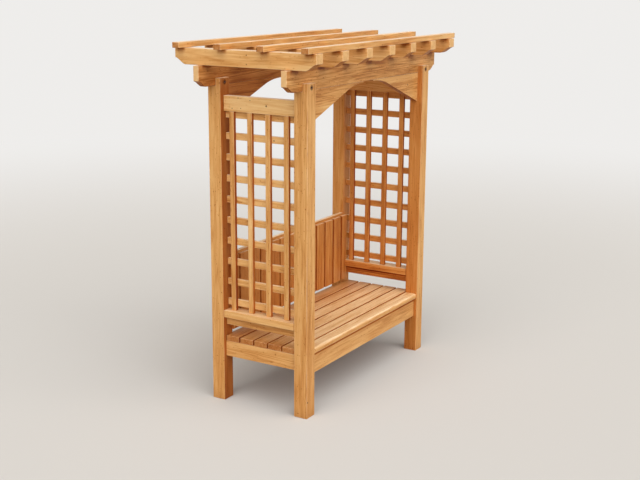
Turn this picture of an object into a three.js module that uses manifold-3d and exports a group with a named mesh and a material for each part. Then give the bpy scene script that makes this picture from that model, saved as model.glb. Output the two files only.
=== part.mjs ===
// Garden arbour seat in clear-finished softwood: four notched posts carry two headers, seven rafters
// and four roof battens, with a lattice panel at each side, a slatted seat and a slatted backrest.
// Millimetres, +Z up. The front faces -Y and the left side faces -X. The origin is on the ground, in the
// middle of the roof's outline. Nothing on it moves.
import * as THREE from "three";
import { mergeVertices } from "three/addons/utils/BufferGeometryUtils.js";
import Module from "manifold-3d";

// Frame over the posts' outer faces
const frameWidth = 1550;
const frameDepth = 690;
const fit = 0.3; // gap that touching pieces keep

// Posts, notched at the top for the headers
const postSize = 90;
const cheekTop = 2000; // top of the cheek that stands in front of each header
const cheekThick = 35;
const cheekRise = 45; // from the shoulder that carries the header to the cheek's top

// Headers, one over the front posts and one over the rear posts
const headerThick = 38;
const headerDepth = 125;
const headerOverhang = 160; // past the posts' outer faces
const headerClipLength = 72;
const headerClipHeight = 35;
const clipBendShare = 0.3; // how far the clip's curve runs level at each of its ends

// Braces under the headers, which form a shallow arch between the posts
const braceSpacing = 120; // between the tips of a pair
const braceDrop = 192;
const braceTip = 6;
const braceStraightShare = 0.7; // of the reach, from the post
const braceRiseShare = 0.85; // of the drop, gained along the straight part

// Rafters on the headers
const rafterCount = 7;
const rafterThick = 70;
const rafterDepth = 95;
const rafterLength = 964;
const rafterSetback = 45; // outer rafters' faces, in from the headers' ends
const rafterClipLength = 72;
const rafterClipHeight = 38;

// Roof battens on the rafters
const battenCount = 4;
const battenWidth = 48;
const battenThick = 33;
const battenOverhang = 50; // past the outer rafters
const battenSetback = 19; // outer battens' edges, in from the rafters' ends

// Coach bolts through the cheeks and headers
const boltDiameter = 10;
const boltHeadDiameter = 22;
const boltHeadHeight = 6;
const boltPlay = 0.5; // between the shank and its hole, all round
const boltRise = 20; // above the header's underside
const boltEnd = 5; // of thread past the nut
const washerDiameter = 22;
const washerThick = 2;
const nutAcross = 18; // over the corners
const nutHeight = 8;
const nutSides = 6;

// Side panels between the front and rear posts
const panelRecess = 30; // rails' outer faces, in from the posts' outer faces
const topRailDrop = 57; // top rail's top below the header's shoulder
const topRailDepth = 92;
const lathThick = 22;
const lathWidth = 34;
const lathCount = 4;
const lathShift = 8; // laths' places towards the rear, from even ones
const barThick = 22;
const barDepth = 41;
const barCount = 10;
const barFoot = 26; // clear height between the lowest bar and the sill
const lap = 2; // how deep the bars are let into the laths
const sillRise = 165; // sill's top above the seat
const sillThick = 45;
const sillSetback = 1; // sill's edges, in from the posts' faces
const lowerRailDepth = 50;

// Seat
const seatTop = 420;
const slatThick = 35;
const slatGap = 12;
const slatCount = 5; // full-length slats, between the front and rear posts
const noseSetback = 5; // front slat's nose, in from the posts' front faces
const noseRadius = 15;
const noseLowRadius = 6;
const apronRecess = 21; // aprons' outer faces, in from the posts' outer faces
const apronThick = 35;
const apronDepth = 129; // front apron and rear rail
const sideApronDepth = 98;
const bearerThick = 38;
const bearerPlaceShare = 0.36; // of the way from the middle to the posts' inner faces

// Backrest
const backSlatCount = 13;
const backSlatThick = 21;
const backSlatGap = 16;
const backSlatTrim = 30; // ripped off the two outer slats, which end at the side panels
const backSlatRise = 495; // slats' top above the seat
const backSlatFoot = 27; // clear height above the seat
const backRailThick = 28;
const backRailDepth = 70;
const backRailRise = 16; // top rail's top above the slats
const backLowRailDepth = 60;
const backLowRailRise = 30; // lower rail's underside above the seat

// Tenons of the rails that enter the posts
const tenonLength = 25;
const tenonThickShare = 0.4; // of the rail's thinner side
const tenonShoulder = 12; // left at each edge of the rail's wider side

// How finely curves are stepped
const roundSteps = 32;
const bendSteps = 8;

// Finishes
const honeyTimber = { color: 0xc98f55, roughness: 0.55, metalness: 0 };
const paleTimber = { color: 0xd9a468, roughness: 0.55, metalness: 0 };
const zincSteel = { color: 0x8b8d8e, roughness: 0.4, metalness: 0.85 };

// Places worked out from the sizes above
const halfWidth = frameWidth / 2;
const halfDepth = frameDepth / 2;
const innerX = halfWidth - postSize;
const innerY = halfDepth - postSize;
const shoulder = cheekTop - cheekRise;
const headerBottom = shoulder + fit;
const headerTop = headerBottom + headerDepth;
const headerSetback = cheekThick + fit + headerThick / 2; // header's middle behind a post's front face
const roofMiddleY = headerSetback + (innerY - halfDepth) / 2; // half way between the headers
const rafterBottom = headerTop + fit;
const battenBottom = rafterBottom + rafterDepth + fit;
const boltZ = headerBottom + boltRise;
const boltHole = boltDiameter + 2 * boltPlay;
const slatBottom = seatTop - slatThick;
const carrierTop = slatBottom - fit;
const panelThick = lathThick + barThick - lap;
const topRailTop = shoulder - topRailDrop;
const sillTop = seatTop + sillRise;
const backSlatTop = seatTop + backSlatRise;

const wasm = await Module();
wasm.setup();

// A closed three.js geometry as a solid. Triangles that shrink to a line at a lathe's axis are left out.
function toSolid(geometry) {
  const bare = geometry.clone();
  bare.deleteAttribute("normal");
  bare.deleteAttribute("uv");
  const merged = mergeVertices(bare);
  const corners = merged.index.array;
  const kept = [];
  for (let i = 0; i < corners.length; i += 3) {
    const [a, b, c] = corners.slice(i, i + 3);
    if (a !== b && b !== c && c !== a) kept.push(a, b, c);
  }
  const vertProperties = new Float32Array(merged.attributes.position.array);
  const triVerts = new Uint32Array(kept);
  return new wasm.Manifold(new wasm.Mesh({ numProp: 3, vertProperties, triVerts }));
}

// A solid's surface as a three.js geometry.
function toGeometry(solid) {
  const surface = solid.getMesh();
  const geometry = new THREE.BufferGeometry();
  geometry.setAttribute("position", new THREE.BufferAttribute(surface.vertProperties, 3));
  geometry.setIndex(new THREE.BufferAttribute(surface.triVerts, 1));
  const faceted = geometry.toNonIndexed();
  faceted.computeVertexNormals();
  return faceted;
}

// A box as a solid, by its middle and its size.
function block([x, y, z], [sizeX, sizeY, sizeZ]) {
  return toSolid(new THREE.BoxGeometry(sizeX, sizeY, sizeZ).translate(x, y, z));
}

const arbour = new THREE.Group();
arbour.position.y = -roofMiddleY;

function place(name, geometry, finish, [x, y, z], turn = 0) {
  const mesh = new THREE.Mesh(geometry, new THREE.MeshStandardMaterial(finish));
  mesh.name = name;
  mesh.position.set(x, y, z);
  mesh.rotation.z = turn;
  arbour.add(mesh);
}

// A plain square-edged board, by its lowest and highest corners.
function board(name, low, high, finish = honeyTimber) {
  const size = high.map((value, i) => value - low[i]);
  const middle = high.map((value, i) => (value + low[i]) / 2);
  place(name, new THREE.BoxGeometry(...size), finish, middle);
}

// Rails that are tenoned into the posts. Each lies along x or along y. Its size is its length between
// the posts, its thickness and its depth, and its middle is where it stands in the frame.
const clearX = 2 * (innerX - fit);
const clearY = 2 * (innerY - fit);
const panelMiddleX = halfWidth - panelRecess - panelThick / 2;
const sillMiddleX = halfWidth - postSize / 2;
const sillWidth = postSize - 2 * sillSetback;
const apronMiddle = apronRecess + apronThick / 2; // in from the posts' outer faces
const backRailMiddleY = innerY + backRailThick / 2;
const backRailTop = backSlatTop + backRailRise;
const backLowRailTop = seatTop + backLowRailRise + backLowRailDepth;

function sideRails(name, middleX, top, thick, depth) {
  return [
    ["left", -1],
    ["right", 1],
  ].map(([side, sign]) => ({
    name: `${name}_${side}`,
    along: "y",
    middle: [sign * middleX, 0, top - depth / 2],
    size: [clearY, thick, depth],
  }));
}

function crossRail(name, middleY, top, thick, depth) {
  return { name, along: "x", middle: [0, middleY, top - depth / 2], size: [clearX, thick, depth] };
}

const rails = [
  ...sideRails("top_rail", panelMiddleX, topRailTop, panelThick, topRailDepth),
  ...sideRails("sill", sillMiddleX, sillTop, sillWidth, sillThick),
  ...sideRails("lower_rail", panelMiddleX, sillTop - sillThick - fit, panelThick, lowerRailDepth),
  ...sideRails("side_apron", halfWidth - apronMiddle, carrierTop, apronThick, sideApronDepth),
  crossRail("front_apron", -halfDepth + apronMiddle, carrierTop, apronThick, apronDepth),
  crossRail("rear_seat_rail", halfDepth - apronMiddle, carrierTop, apronThick, apronDepth),
  crossRail("back_top_rail", backRailMiddleY, backRailTop, backRailThick, backRailDepth),
  crossRail("back_lower_rail", backRailMiddleY, backLowRailTop, backRailThick, backLowRailDepth),
];

// The bar that runs through a rail and stands out of both its ends as tenons, with room round it on request.
function tenonSize([length, thick, depth], room = 0) {
  const thin = Math.min(thick, depth);
  const side = (value) => (value === thin ? value * tenonThickShare : value - 2 * tenonShoulder);
  return [length + 2 * (tenonLength + room), side(thick) + 2 * room, side(depth) + 2 * room];
}

function addRails() {
  for (const { name, along, middle, size } of rails) {
    const solid = block([0, 0, 0], size).add(block([0, 0, 0], tenonSize(size)));
    const turn = along === "y" ? Math.PI / 2 : 0;
    const finish = name.startsWith("sill") ? paleTimber : honeyTimber;
    place(name, toGeometry(solid), finish, middle, turn);
  }
}

// A post stands on its own middle. Its top is cut away behind the cheek down to the header's shoulder,
// the cheek is drilled for the bolt, and each rail that enters the post has its mortise.
function postSolid(postX, postY) {
  let solid = block([0, 0, cheekTop / 2], [postSize, postSize, cheekTop]);
  solid = solid.subtract(
    block([0, cheekThick, shoulder + cheekRise], [2 * postSize, postSize, 2 * cheekRise]),
  );
  const drill = new THREE.CylinderGeometry(boltHole / 2, boltHole / 2, 2 * postSize, roundSteps);
  solid = solid.subtract(toSolid(drill.translate(0, -postSize / 2, boltZ)));
  for (const { along, middle, size } of rails) {
    const [length, thick, depth] = tenonSize(size, fit);
    const mortise = along === "x" ? [length, thick, depth] : [thick, length, depth];
    const [x, y, z] = middle;
    solid = solid.subtract(block([x - postX, y - postY, z], mortise));
  }
  return solid;
}

// An outline extruded along z to a length, with its middle at zero.
function extrude(outline, length) {
  const options = { depth: length, bevelEnabled: false, curveSegments: bendSteps };
  return new THREE.ExtrudeGeometry(outline, options).translate(0, 0, -length / 2);
}

// A level timber with both lower ends clipped by a gentle S curve, from its middle along its underside.
function clippedOutline(length, depth, clipLength, clipHeight) {
  const end = length / 2;
  const bend = clipBendShare * clipLength;
  const outline = new THREE.Shape();
  outline.moveTo(-end, depth);
  outline.lineTo(-end, clipHeight);
  outline.bezierCurveTo(-end + bend, clipHeight, -end + clipLength - bend, 0, -end + clipLength, 0);
  outline.lineTo(end - clipLength, 0);
  outline.bezierCurveTo(end - clipLength + bend, 0, end - bend, clipHeight, end, clipHeight);
  outline.lineTo(end, depth);
  outline.closePath();
  return outline;
}

// An upright outline extruded to a thickness, centred on it, with the outline's x along the timber.
function uprightBoard(outline, thick) {
  return extrude(outline, thick).rotateX(Math.PI / 2);
}

// Half of the arch, from the post on the right to the tip near the middle, with its top edge level.
function braceOutline() {
  const reach = innerX - fit - braceSpacing / 2;
  const straight = braceStraightShare * reach;
  const rise = braceRiseShare * (braceDrop - braceTip);
  const bend = straight * ((braceDrop - braceTip) / rise); // where the straight edge meets the tip's level
  const outline = new THREE.Shape();
  outline.moveTo(0, 0);
  outline.lineTo(-reach, 0);
  outline.lineTo(-reach, -braceTip);
  outline.quadraticCurveTo(-bend, -braceTip, -straight, -braceDrop + rise);
  outline.lineTo(0, -braceDrop);
  outline.closePath();
  return outline;
}

// A coach bolt with a domed head, its washer and its nut. It points along +Y from under its head.
function boltSolid() {
  const grip = cheekThick + headerThick + 3 * fit; // with a gap before, between and after the two timbers
  const profile = new THREE.Path();
  profile.moveTo(0, grip + washerThick + nutHeight + boltEnd);
  profile.lineTo(boltDiameter / 2, grip + washerThick + nutHeight + boltEnd);
  profile.lineTo(boltDiameter / 2, 0);
  profile.lineTo(boltHeadDiameter / 2, 0);
  profile.quadraticCurveTo(boltHeadDiameter / 2, -boltHeadHeight, 0, -boltHeadHeight);
  const turned = new THREE.LatheGeometry(profile.getPoints(bendSteps).reverse(), roundSteps);
  const washer = new THREE.CylinderGeometry(washerDiameter / 2, washerDiameter / 2, washerThick, roundSteps);
  const nut = new THREE.CylinderGeometry(nutAcross / 2, nutAcross / 2, nutHeight, nutSides);
  return toSolid(turned)
    .add(toSolid(washer.translate(0, grip + washerThick / 2, 0)))
    .add(toSolid(nut.translate(0, grip + washerThick + nutHeight / 2, 0)));
}

// Posts, headers, braces and bolts, which are alike at the front and at the rear.
function addFrames() {
  const boltX = halfWidth - postSize / 2;
  for (const [row, postY] of [
    ["front", -halfDepth + postSize / 2],
    ["rear", halfDepth - postSize / 2],
  ]) {
    const faceY = postY - postSize / 2;
    const headerY = faceY + headerSetback;
    const headerLength = frameWidth + 2 * headerOverhang;
    const outline = clippedOutline(headerLength, headerDepth, headerClipLength, headerClipHeight);
    for (const x of [-boltX, boltX]) {
      const hole = new THREE.Path();
      hole.absarc(x, boltRise, boltHole / 2, 0, 2 * Math.PI);
      outline.holes.push(hole);
    }
    place(`header_${row}`, uprightBoard(outline, headerThick), honeyTimber, [0, headerY, headerBottom]);
    for (const [side, sign] of [
      ["left", -1],
      ["right", 1],
    ]) {
      const postX = sign * boltX;
      const post = toGeometry(postSolid(postX, postY));
      place(`post_${row}_${side}`, post, paleTimber, [postX, postY, 0]);
      const brace = uprightBoard(braceOutline(), headerThick);
      const turn = sign < 0 ? Math.PI : 0;
      const braceAt = [sign * (innerX - fit), headerY, headerBottom - fit];
      place(`brace_${row}_${side}`, brace, honeyTimber, braceAt, turn);
      const boltAt = [postX, faceY - fit, boltZ];
      place(`bolt_${row}_${side}`, toGeometry(boltSolid()), zincSteel, boltAt);
    }
  }
}

function addRoof() {
  const outerX = halfWidth + headerOverhang - rafterSetback;
  const rafterStep = (2 * outerX - rafterThick) / (rafterCount - 1);
  for (let i = 0; i < rafterCount; i += 1) {
    const outline = clippedOutline(rafterLength, rafterDepth, rafterClipLength, rafterClipHeight);
    const x = -outerX + rafterThick / 2 + i * rafterStep;
    const geometry = uprightBoard(outline, rafterThick);
    place(`rafter_${i + 1}`, geometry, paleTimber, [x, roofMiddleY, rafterBottom], Math.PI / 2);
  }
  const battenX = outerX + battenOverhang;
  const firstY = roofMiddleY - rafterLength / 2 + battenSetback;
  const battenStep = (rafterLength - 2 * battenSetback - battenWidth) / (battenCount - 1);
  for (let i = 0; i < battenCount; i += 1) {
    const low = [-battenX, firstY + i * battenStep, battenBottom];
    const high = [battenX, firstY + i * battenStep + battenWidth, battenBottom + battenThick];
    board(`batten_${i + 1}`, low, high, paleTimber);
  }
}

// A lattice is one panel: upright laths on its -X side and level bars let into them from behind.
function latticeSolid() {
  const top = topRailTop - topRailDepth - fit;
  const bottom = sillTop + fit;
  const lathX = -panelThick / 2 + lathThick / 2;
  const barX = panelThick / 2 - barThick / 2;
  const parts = [];
  const lathStep = clearY / lathCount;
  for (let i = 0; i < lathCount; i += 1) {
    const y = -clearY / 2 + (i + 1 / 2) * lathStep + lathShift;
    parts.push(block([lathX, y, (top + bottom) / 2], [lathThick, lathWidth, top - bottom]));
  }
  const barStep = (top - bottom - barDepth - barFoot) / (barCount - 1);
  for (let i = 0; i < barCount; i += 1) {
    const z = top - barDepth / 2 - i * barStep;
    parts.push(block([barX, 0, z], [barThick, clearY, barDepth]));
  }
  return parts.reduce((whole, part) => whole.add(part));
}

function addLattices() {
  const lattice = toGeometry(latticeSolid());
  place("lattice_left", lattice, honeyTimber, [-panelMiddleX, 0, 0]);
  place("lattice_right", lattice.clone(), honeyTimber, [panelMiddleX, 0, 0]);
}

// The front slat's section, with its rounded nose towards -Y, extruded along x.
function frontSlat() {
  const back = -innerY - slatGap / 2;
  const nose = -halfDepth + noseSetback;
  const section = new THREE.Shape();
  section.moveTo(back, slatBottom);
  section.lineTo(back, seatTop);
  section.lineTo(nose + noseRadius, seatTop);
  section.absarc(nose + noseRadius, seatTop - noseRadius, noseRadius, Math.PI / 2, Math.PI, false);
  section.lineTo(nose, slatBottom + noseLowRadius);
  section.absarc(
    nose + noseLowRadius,
    slatBottom + noseLowRadius,
    noseLowRadius,
    Math.PI,
    (3 * Math.PI) / 2,
    false,
  );
  section.closePath();
  return extrude(section, clearX)
    .rotateX(Math.PI / 2)
    .rotateZ(Math.PI / 2);
}

function addSeat() {
  place("seat_slat_1", frontSlat(), paleTimber, [0, 0, 0]);
  const slatEnd = halfWidth - apronRecess;
  const step = (2 * innerY) / slatCount;
  for (let i = 0; i < slatCount; i += 1) {
    const front = -innerY + i * step + slatGap / 2;
    const low = [-slatEnd, front, slatBottom];
    const high = [slatEnd, front + step - slatGap, seatTop];
    board(`seat_slat_${i + 2}`, low, high, paleTimber);
  }
  const bearerX = bearerPlaceShare * innerX;
  const bearerY = halfDepth - apronRecess - apronThick - fit;
  for (const [side, x] of [
    ["left", -bearerX],
    ["right", bearerX],
  ]) {
    const low = [x - bearerThick / 2, -bearerY, carrierTop - sideApronDepth];
    const high = [x + bearerThick / 2, bearerY, carrierTop];
    board(`seat_bearer_${side}`, low, high);
  }
}

// The backrest's slats stand in front of its rails, whose front faces are level with the posts'. The outer
// two are ripped to end at the side panels, and are notched round the sills.
function addBackrest() {
  const reach = panelMiddleX - panelThick / 2 - fit;
  const step = (2 * (reach + backSlatTrim) + backSlatGap) / backSlatCount;
  const middleY = innerY - fit - backSlatThick / 2;
  const bottom = seatTop + backSlatFoot;
  const sillNotch = [sillWidth + 2 * fit, 2 * backSlatThick, sillThick + 2 * fit];
  for (let i = 0; i < backSlatCount; i += 1) {
    const start = i * step - reach - backSlatTrim;
    const left = Math.max(start, -reach);
    const right = Math.min(start + step - backSlatGap, reach);
    const middle = [(left + right) / 2, middleY, (bottom + backSlatTop) / 2];
    let slat = block(middle, [right - left, backSlatThick, backSlatTop - bottom]);
    for (const x of [-sillMiddleX, sillMiddleX]) {
      slat = slat.subtract(block([x, middleY, sillTop - sillThick / 2], sillNotch));
    }
    place(`back_slat_${i + 1}`, toGeometry(slat), honeyTimber, [0, 0, 0]);
  }
}

addFrames();
addRails();
addRoof();
addLattices();
addSeat();
addBackrest();

export default arbour;
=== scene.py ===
# %% [markdown]
# An arbour seat in clear-finished softwood, dressed in Blender round its finished construction.
#
# The construction is loaded first and stays as it is: it says where every timber begins and ends. On a real
# arbour the maker planes each board, eases its sharp edges, cuts its joints and brushes on a clear finish.
# The cells below do the same, piece by piece, so that each board gets its own edges, grain and colour.
# Lengths are in metres.

import math
import random
from contextlib import contextmanager

import bmesh
import bpy
from mathutils import Matrix, Vector


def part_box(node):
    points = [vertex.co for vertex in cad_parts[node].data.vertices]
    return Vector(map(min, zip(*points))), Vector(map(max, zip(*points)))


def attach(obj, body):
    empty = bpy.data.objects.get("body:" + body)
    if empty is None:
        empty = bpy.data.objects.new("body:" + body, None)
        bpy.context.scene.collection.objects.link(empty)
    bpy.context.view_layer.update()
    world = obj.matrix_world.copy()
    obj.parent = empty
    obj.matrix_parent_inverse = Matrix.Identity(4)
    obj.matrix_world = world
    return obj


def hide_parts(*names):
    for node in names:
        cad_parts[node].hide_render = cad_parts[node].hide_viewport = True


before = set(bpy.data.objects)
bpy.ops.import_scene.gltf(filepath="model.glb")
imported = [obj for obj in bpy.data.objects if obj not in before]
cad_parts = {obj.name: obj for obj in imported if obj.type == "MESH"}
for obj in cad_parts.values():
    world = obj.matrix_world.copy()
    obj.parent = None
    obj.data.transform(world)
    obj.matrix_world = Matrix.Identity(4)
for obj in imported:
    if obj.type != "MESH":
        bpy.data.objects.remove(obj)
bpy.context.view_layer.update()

# %% [markdown]
# The camera stands in front of the left side, a little above head height, and looks slightly down. Its
# place is given by a point that it looks at, a distance and two angles, because those are easy to change
# one by one. The camera's own axes are then worked out from the angles and set as the columns of a
# matrix, which leaves no doubt about its roll.

# %% Camera
camera_target = Vector((-0.3560, -0.1958, 1.0))
camera_distance = 6.862
camera_azimuth = math.radians(-59.006)
camera_elevation = math.radians(13.658)
camera_roll = math.radians(0.325)
camera_lens = 62.644  # mm, on a sensor 36 mm wide
camera_shift = -0.0015  # of the picture's width

camera_back = Vector((
    math.sin(camera_azimuth) * math.cos(camera_elevation),
    -math.cos(camera_azimuth) * math.cos(camera_elevation),
    math.sin(camera_elevation),
))
level_right = Vector((0, 0, 1)).cross(camera_back).normalized()
level_up = camera_back.cross(level_right)
camera_right = level_right * math.cos(camera_roll) + level_up * math.sin(camera_roll)
camera_up = camera_back.cross(camera_right)
camera_axes = Matrix((camera_right, camera_up, camera_back)).transposed()

bpy.ops.object.camera_add()
camera = bpy.context.object
camera.name = "camera"
camera.matrix_world = (
    Matrix.Translation(camera_target + camera_distance * camera_back) @ camera_axes.to_4x4()
)
camera.data.lens = camera_lens
camera.data.shift_x = camera_shift
bpy.context.scene.camera = camera
bpy.context.scene.view_settings.view_transform = "Standard"
print("camera at", [round(value, 3) for value in camera.matrix_world.translation])

# %% [markdown]
# A material is a small tree of nodes. A few short helpers keep the trees below readable: one adds a node
# and links or sets its inputs, and the others each stand for a kind of node that is needed often. They
# return the socket that the next step uses, so a tree reads from top to bottom like a recipe.

# %% Helpers for materials
def new_material(name):
    """An empty material, its node tree and the output's surface socket."""
    material = bpy.data.materials.new(name)
    material.use_nodes = True
    tree = material.node_tree
    tree.nodes.clear()
    output = tree.nodes.new("ShaderNodeOutputMaterial")
    return material, tree, output.inputs["Surface"]


def add_node(tree, kind, inputs=None, **settings):
    """Adds a node. Each input is linked to a socket or set to a value."""
    node = tree.nodes.new(kind)
    for name, value in settings.items():
        setattr(node, name, value)
    for name, source in (inputs or {}).items():
        if isinstance(source, bpy.types.NodeSocket):
            tree.links.new(source, node.inputs[name])
        else:
            node.inputs[name].default_value = source
    return node


def do_sum(tree, operation, *values):
    """A Math node's result."""
    return add_node(tree, "ShaderNodeMath", dict(enumerate(values)), operation=operation).outputs[0]


def do_vectors(tree, operation, *vectors):
    """A Vector Math node's result, which is a number for a length or a distance."""
    node = add_node(tree, "ShaderNodeVectorMath", dict(enumerate(vectors)), operation=operation)
    return node.outputs["Value" if operation in ("LENGTH", "DISTANCE") else "Vector"]


def split(tree, vector):
    """A vector's three parts."""
    return add_node(tree, "ShaderNodeSeparateXYZ", {0: vector}).outputs


def fade(tree, value, start, end, low=0.0, high=1.0):
    """Goes smoothly from low to high while value goes from start to end."""
    inputs = {"Value": value, 1: start, 2: end, 3: low, 4: high}
    return add_node(tree, "ShaderNodeMapRange", inputs, interpolation_type="SMOOTHSTEP").outputs[0]


def mix_colours(tree, share, first, second, how="MIX"):
    """The first colour, changed by the second by a share."""
    inputs = {0: share, 6: first, 7: second}
    return add_node(tree, "ShaderNodeMix", inputs, data_type="RGBA", blend_type=how).outputs[2]


def object_place(tree):
    """Where a point is on the arbour, since every finished piece's own origin is the arbour's."""
    return add_node(tree, "ShaderNodeTexCoord").outputs["Object"]


# %% [markdown]
# The studio is a wide pale floor under a soft sky. One broad sun high in front of the left side does most
# of the work, as on a bright day with thin cloud, and the sky only fills its shadows. The less the sky
# fills, the more of the light between the boards has come off other boards first, which is what makes
# shaded honey-coloured wood look so warm. The camera and reflections see a brighter world than the timber
# is lit by, which makes the background pale without putting more light on the wood.

# %% Sky
sky_top = 0.36
sky_low = 0.13
sky_shown = 0.86
sky_span = (-0.1, 0.9)  # how high a ray points where it meets the sky's low and its top tone
shown_colour = (1.0, 0.985, 0.965, 1)
top_colour = (1.0, 0.93, 0.84, 1)
low_colour = (1.0, 0.84, 0.68, 1)

world = bpy.data.worlds.new("studio")
world.use_nodes = True
bpy.context.scene.world = world
sky = world.node_tree
sky.nodes.clear()


def seen_directly(tree):
    """1 for the camera's own rays and for what gloss or glass shows, else 0."""
    ray = add_node(tree, "ShaderNodeLightPath")
    mirrored = do_sum(tree, "MAXIMUM", ray.outputs["Is Glossy Ray"], ray.outputs["Is Transmission Ray"])
    return do_sum(tree, "MAXIMUM", ray.outputs["Is Camera Ray"], mirrored)


direction = add_node(sky, "ShaderNodeTexCoord").outputs["Generated"]
height = split(sky, direction)["Z"]
glow = fade(sky, height, *sky_span, sky_low, sky_top)
tone = mix_colours(sky, fade(sky, height, *sky_span), low_colour, top_colour)
direct = seen_directly(sky)
strength = add_node(sky, "ShaderNodeMix", {0: direct, 2: glow, 3: sky_shown}).outputs[0]
colour = mix_colours(sky, direct, tone, shown_colour)
background = add_node(sky, "ShaderNodeBackground", {"Color": colour, "Strength": strength})
world_output = sky.nodes.new("ShaderNodeOutputWorld")
sky.links.new(background.outputs[0], world_output.inputs["Surface"])
print("sky from", sky_low, "to", sky_top)

# %% Sun
sun_towards = Vector((-0.53, -0.55, 0.65)).normalized()
sun_strength = 3.75
sun_width = math.radians(100)
sun_colour = (1.0, 0.985, 0.96)

bpy.ops.object.light_add(type="SUN")
sun = bpy.context.object
sun.name = "broad_sun"
sun.rotation_euler = sun_towards.to_track_quat("Z", "Y").to_euler()
sun.data.energy = sun_strength
sun.data.angle = sun_width
sun.data.color = sun_colour
print("sun shines from", [round(value, 2) for value in sun_towards])

# %% [markdown]
# The floor is pale to the eye and darker for the light that it throws back up at the timber, like gravel,
# whose stones shade each other. Far from the arbour it turns into the background, so that no edge shows.

# %% Floor
floor_radius = 60.0
floor_steps = 128
floor_shown = (0.66, 0.65, 0.635, 1)
floor_bounce = (0.34, 0.31, 0.28, 1)
floor_fade = (3.2, 11.0)  # how far out the floor starts and ends turning into the background


def pale_floor():
    """A diffuse floor that turns into the background far out."""
    material, tree, surface = new_material("pale floor")
    direct = seen_directly(tree)
    away = do_vectors(tree, "LENGTH", object_place(tree))
    far = do_sum(tree, "MULTIPLY", fade(tree, away, *floor_fade), direct)
    colour = mix_colours(tree, direct, floor_bounce, floor_shown)
    lit = add_node(tree, "ShaderNodeBsdfDiffuse", {"Color": colour}).outputs[0]
    even = add_node(tree, "ShaderNodeEmission", {"Color": shown_colour, "Strength": sky_shown}).outputs[0]
    both = add_node(tree, "ShaderNodeMixShader", {0: far, 1: lit, 2: even}).outputs[0]
    tree.links.new(both, surface)
    return material


bpy.ops.mesh.primitive_circle_add(vertices=floor_steps, radius=floor_radius, fill_type="NGON")
floor = bpy.context.object
floor.name = "floor"
floor.data.materials.append(pale_floor())
print("floor radius", floor_radius)

# %% [markdown]
# Timber is a solid with a pattern inside it, not a sheet with a picture on it. A trunk grows in rings round
# its pith, and a board shows those rings cut lengthwise on its faces and as arcs on its ends. So the wood
# here is worked out in three dimensions, in each board's own coordinates: the first runs along the grain
# and the other two lie across it, with the pith at zero. Each mesh carries these coordinates as an
# attribute called grain, and every board has its own pith, so no two boards are alike.

# %% Growth rings
ring_spacing = 0.0046
ring_stray = 0.022  # how far a ring may stray from a true circle
stray_cells = (1.1, 7.0)  # noise cells per metre, along the grain and across it
knot_bulge = 0.009  # how far a knot pushes the rings aside
bulge_fall = 0.55  # how fast that dies away with each radius of the knot
late_wood = (0.25, 0.90)  # the part of a year's growth in which the wood darkens
year_end = (0.93, 1.0)  # where the dark wood stops, and the next pale ring begins


def stretched_noise(tree, grain, along, across, detail=2.0, wave=0.0):
    """Noise from 0 to 1 in cells per metre, long along the grain and narrow across it."""
    scaled = do_vectors(tree, "MULTIPLY", grain, (along, across, across))
    inputs = {"Vector": scaled, "Scale": 1.0, "Detail": detail, "Distortion": wave}
    return add_node(tree, "ShaderNodeTexNoise", inputs).outputs[0]


def growth_rings(tree, grain, knot):
    """0 in a ring's pale early wood, up to 1 in its narrow dark late wood."""
    radius = do_vectors(tree, "LENGTH", do_vectors(tree, "MULTIPLY", grain, (0, 1, 1)))
    stray = stretched_noise(tree, grain, *stray_cells)
    wander = do_sum(tree, "MULTIPLY_ADD", stray, ring_stray, radius)
    bulge = do_sum(tree, "EXPONENT", do_sum(tree, "MULTIPLY", knot, -bulge_fall))
    grown = do_sum(tree, "MULTIPLY_ADD", bulge, knot_bulge, wander)
    year = do_sum(tree, "FRACT", do_sum(tree, "DIVIDE", grown, ring_spacing))
    late = fade(tree, year, *late_wood)
    return do_sum(tree, "MULTIPLY", late, fade(tree, year, *year_end, 1.0, 0.0))


print("rings", ring_spacing, "apart")

# %% [markdown]
# Knots are where a branch left the trunk. Softwood boards have a small one every few hands, dark in the
# middle with a darker rim, and the grain flows round it. A Voronoi texture scatters points in space: a
# board shows a knot wherever its surface passes close to one. The left top rail, one brace and the first
# rafter have knots that catch the eye, so those are listed one by one, by their place on the board's face.

# %% Knots
knots_per_metre = 6.0
knot_least = 0.0022
knot_most = 0.0075
knot_rarity = 3.0  # the higher, the fewer large knots among the small ones
left_rail_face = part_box("top_rail_left")[0].x
first_rafter_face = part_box("rafter_1")[0].x
brace_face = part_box("brace_front_right")[0].y
chosen_knots = [  # place and radius
    ((left_rail_face, -0.057, 1.8536), 0.0055),
    ((left_rail_face, 0.056, 1.879), 0.0030),
    ((left_rail_face, 0.1405, 1.888), 0.0032),
    ((left_rail_face, 0.123, 1.829), 0.0026),
    ((left_rail_face, 0.184, 1.825), 0.0030),
    ((first_rafter_face, -0.022, 2.151), 0.0034),
    ((first_rafter_face, -0.022, 2.0995), 0.0034),
    ((0.537, brace_face, 1.885), 0.0055),
]


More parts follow.
